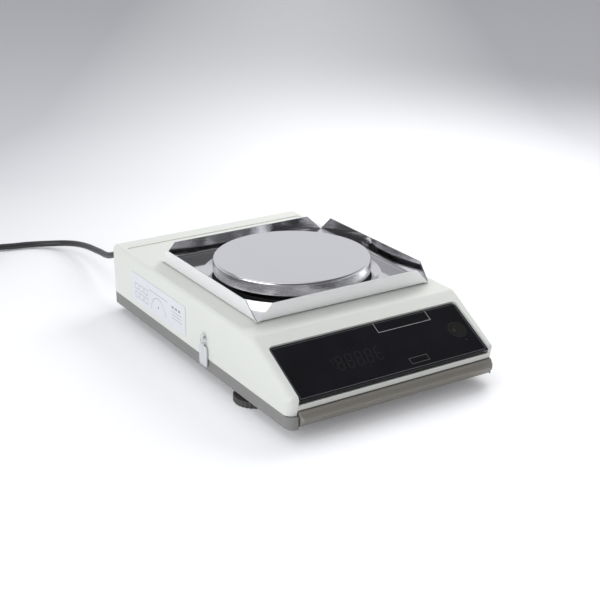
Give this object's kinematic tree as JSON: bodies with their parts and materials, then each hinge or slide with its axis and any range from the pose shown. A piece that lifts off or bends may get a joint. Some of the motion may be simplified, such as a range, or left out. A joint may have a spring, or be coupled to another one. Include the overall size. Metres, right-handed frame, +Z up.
{
  "type": "precision balance",
  "caption": "Benchtop precision balance: round lift-off pan on a guided load cell, folded lift-off draft shield, sloped dark display, full-width press bar and levelling wheels.",
  "frame": {"origin": "on the table under the axis of the weighing pan, at the middle of the balance without its cord", "axes": "+X to the user's right, +Y from the control bar to the rear panel, +Z up"},
  "size_m": [0.4238, 0.5791, 0.0819],
  "materials": {
    "cover": "fine satin moulded texture",
    "window": "smoked clear plastic, polished",
    "circuit_board": "solder mask",
    "black_plastic": "satin black",
    "brass": "turned",
    "level_fluid": "clear yellow green",
    "base": "matt grey paint on a die casting",
    "spring_steel": "rolled",
    "screws": "zinc plated",
    "wheel": "dark grey, fluted",
    "rubber": "matt black",
    "bar": "fine matt moulded texture",
    "cast": "as cast, machined on its seats",
    "machined": "machined",
    "winding": "varnished copper wire",
    "iron": "plated soft iron",
    "bright_steel": "polished stainless sheet",
    "laminations": "varnished sheet stack",
    "label": "satin film, blank",
    "tag": "milky clear plastic",
    "cord": "matt black sheath"
  },
  "bodies": {
    "housing": {"upper_cover": "cover", "display_window": "window", "display_board": "circuit_board", "digit_module": "black_plastic", "level_cup": "brass", "level_glass": "level_fluid", "base_casting": "base", "port_screw": "screws", "cover_screw_front_left": "screws", "cover_screw_rear_left": "screws", "cover_screw_front_right": "screws", "cover_screw_rear_right": "screws", "rear_foot_left": "rubber", "rear_foot_right": "rubber", "bar_pivot_left": "screws", "bar_pivot_right": "screws", "bar_spring_left": "spring_steel", "bar_spring_right": "spring_steel", "bar_switch": "black_plastic", "cell_frame": "cast", "magnet_pot": "iron", "magnet_core": "iron", "position_sensor": "black_plastic", "collar_ring": "black_plastic", "transformer_core": "laminations", "transformer_winding": "winding", "main_board": "circuit_board", "heat_sink": "machined", "capacitor": "black_plastic", "fuse_holder": "black_plastic", "voltage_selector": "black_plastic", "option_cover": "cover", "side_label": "label", "seal_screw": "bright_steel", "seal_wire": "spring_steel", "strain_relief": "rubber", "mains_cord": "cord", "cord_coil": "cord", "cord_tie": "black_plastic", "plug_body": "rubber", "plug_pin_left": "brass", "plug_pin_right": "brass"},
    "control_bar": {"control_bar": "bar"},
    "load_train": {"hanger": "machined", "pan_carrier": "machined"},
    "lower_guide": {"lower_guide": "spring_steel"},
    "upper_guide": {"upper_guide": "spring_steel"},
    "lever": {"lever_beam": "machined", "force_coil": "winding"},
    "pan": {"weighing_pan": "bright_steel"},
    "shield": {"draft_shield": "bright_steel"},
    "stud_left": {"levelling_stud_left": "screws"},
    "stud_right": {"levelling_stud_right": "screws"},
    "wheel_left": {"levelling_wheel_left": "wheel"},
    "wheel_right": {"levelling_wheel_right": "wheel"},
    "seal_tag": {"seal_tag": "tag"},
    "port_cover": {"port_cover": "spring_steel"},
    "fuse_cap": {"fuse_cap": "black_plastic"},
    "selector_slider": {"selector_slider": "bar"}
  },
  "joints": [
    {"name": "control_bar_press", "type": "hinge", "parent": "housing", "child": "control_bar", "pos_m": [0, -0.112, 0.0163], "axis": [1, 0, 0], "range_deg": [-0.8, 1.6], "stiffness_Nm_per_rad": 6, "springref_deg": 0.11},
    {"name": "load_train_lift", "type": "slide", "parent": "housing", "child": "load_train", "axis": [0, 0, 1], "range_m": [-0.0004, 0.0004], "stiffness_N_per_m": 9000, "springref_m": 0.0003},
    {"name": "lower_guide_tilt", "type": "hinge", "parent": "housing", "child": "lower_guide", "pos_m": [0, 0.0837, 0.0211], "axis": [1, 0, 0], "range_deg": [-0.32, 0.32]},
    {"name": "upper_guide_tilt", "type": "hinge", "parent": "housing", "child": "upper_guide", "pos_m": [0, 0.0837, 0.0489], "axis": [1, 0, 0], "range_deg": [-0.32, 0.32]},
    {"name": "lever_tilt", "type": "hinge", "parent": "housing", "child": "lever", "pos_m": [0, 0.024, 0.037], "axis": [1, 0, 0], "range_deg": [-1.5, 1.5]},
    {"name": "pan_lift_off", "type": "slide", "parent": "load_train", "child": "pan", "axis": [0, 0, 1], "range_m": [0, 0.06]},
    {"name": "shield_lift_off", "type": "slide", "parent": "housing", "child": "shield", "axis": [0, 0, 1], "range_m": [0, 0.05]},
    {"name": "stud_travel_left", "type": "slide", "parent": "housing", "child": "stud_left", "axis": [0, 0, 1], "range_m": [-0.004, 0]},
    {"name": "wheel_turn_left", "type": "hinge", "parent": "stud_left", "child": "wheel_left", "pos_m": [-0.0822, -0.078, 0], "axis": [0, 0, 1], "range_deg": [-1440, 0]},
    {"name": "stud_travel_right", "type": "slide", "parent": "housing", "child": "stud_right", "axis": [0, 0, 1], "range_m": [-0.004, 0]},
    {"name": "wheel_turn_right", "type": "hinge", "parent": "stud_right", "child": "wheel_right", "pos_m": [0.0822, -0.078, 0], "axis": [0, 0, 1], "range_deg": [-1440, 0]},
    {"name": "seal_tag_swing", "type": "hinge", "parent": "housing", "child": "seal_tag", "pos_m": [-0.099, -0.0226, 0.031], "axis": [0, 1, 0], "range_deg": [0, 70]},
    {"name": "port_cover_swing", "type": "hinge", "parent": "housing", "child": "port_cover", "pos_m": [0.019, 0, 0.0076], "axis": [0, 0, 1], "range_deg": [0, 110]},
    {"name": "fuse_cap_turn", "type": "hinge", "parent": "housing", "child": "fuse_cap", "pos_m": [-0.036, 0.156, 0.036], "axis": [0, 1, 0], "range_deg": [0, 90]},
    {"name": "selector_slide", "type": "slide", "parent": "housing", "child": "selector_slider", "axis": [1, 0, 0], "range_m": [0, 0.0089]}
  ],
  "couplings": [
    {"joint": "lower_guide_tilt", "follows": "load_train_lift", "rad_per_m": -13.09},
    {"joint": "upper_guide_tilt", "follows": "load_train_lift", "rad_per_m": -13.09},
    {"joint": "lever_tilt", "follows": "load_train_lift", "rad_per_m": -62.5},
    {"joint": "stud_travel_left", "follows": "wheel_turn_left", "m_per_rad": 0.000159},
    {"joint": "stud_travel_right", "follows": "wheel_turn_right", "m_per_rad": 0.000159}
  ]
}
